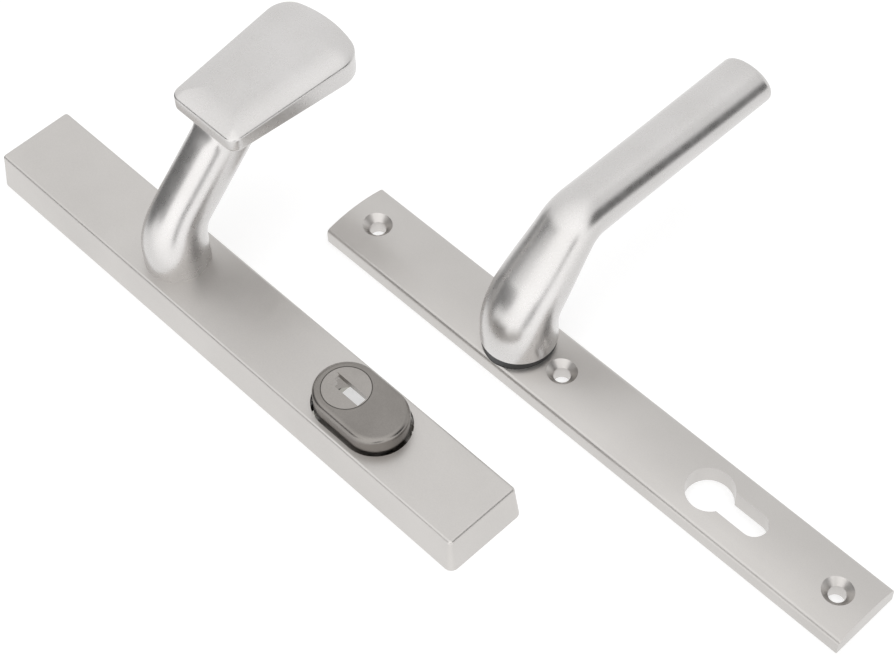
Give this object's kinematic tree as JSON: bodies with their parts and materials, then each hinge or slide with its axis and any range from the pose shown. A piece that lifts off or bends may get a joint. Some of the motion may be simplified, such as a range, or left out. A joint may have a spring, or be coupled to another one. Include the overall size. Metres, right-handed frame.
{
  "type": "security door handle set",
  "caption": "Security door handle set: an inside plate with a cranked lever, and a drafted outside shield with a fixed knob and a guarded cylinder opening.",
  "frame": {"origin": "on the inside half's lever axis, at the plane of the door face", "axes": "+X down both plates from their head ends to their feet, +Y across them in the direction the lever and knob lean, +Z out of the door face"},
  "size_m": [0.3595, 0.2034, 0.0815],
  "materials": {
    "satin_aluminium": "satin anodised",
    "cast_aluminium": "satin anodised casting, polished by hand",
    "shield_aluminium": "satin anodised die casting",
    "hardened_cover": "hardened steel, satin nickel plated",
    "key_disc_steel": "turned and plated",
    "bearing_nylon": "moulded black nylon",
    "zinc_steel": "bright zinc plated",
    "armour_steel": "hardened plate, zinc plated",
    "spring_steel": "dark phosphated"
  },
  "bodies": {
    "root": {"interior_plate": "satin_aluminium", "bearing_bush": "bearing_nylon", "exterior_shield": "shield_aluminium", "armour_plate": "armour_steel", "armour_screws": "zinc_steel", "threaded_post_top": "zinc_steel", "threaded_post_middle": "zinc_steel", "threaded_post_bottom": "zinc_steel", "knob": "cast_aluminium", "knob_bolt": "zinc_steel", "knob_lock_washer": "zinc_steel", "knob_dowel_pins": "zinc_steel", "cover_spring_upper": "spring_steel", "cover_spring_lower": "spring_steel"},
    "lever": {"lever": "cast_aluminium", "lever_grub_screw": "zinc_steel", "thrust_washer": "zinc_steel", "lever_circlip": "spring_steel"},
    "cover": {"cylinder_cover": "hardened_cover", "disc_circlip": "spring_steel"},
    "key_disc": {"key_disc": "key_disc_steel"}
  },
  "joints": [
    {"name": "lever_turn", "type": "hinge", "parent": "root", "child": "lever", "pos_m": [0, 0, 0], "axis": [0, 0, 1], "range_deg": [-45, 45]},
    {"name": "cover_press", "type": "slide", "parent": "root", "child": "cover", "axis": [0, 0, 1], "range_m": [-0.004, 0], "stiffness_N_per_m": 1000, "springref_m": 0.002, "deforming": ["cover_spring_upper", "cover_spring_lower"]},
    {"name": "key_disc_turn", "type": "hinge", "parent": "cover", "child": "key_disc", "pos_m": [-0.0195, -0.0657, 0.02], "axis": [0, 0, 1], "continuous": true}
  ]
}
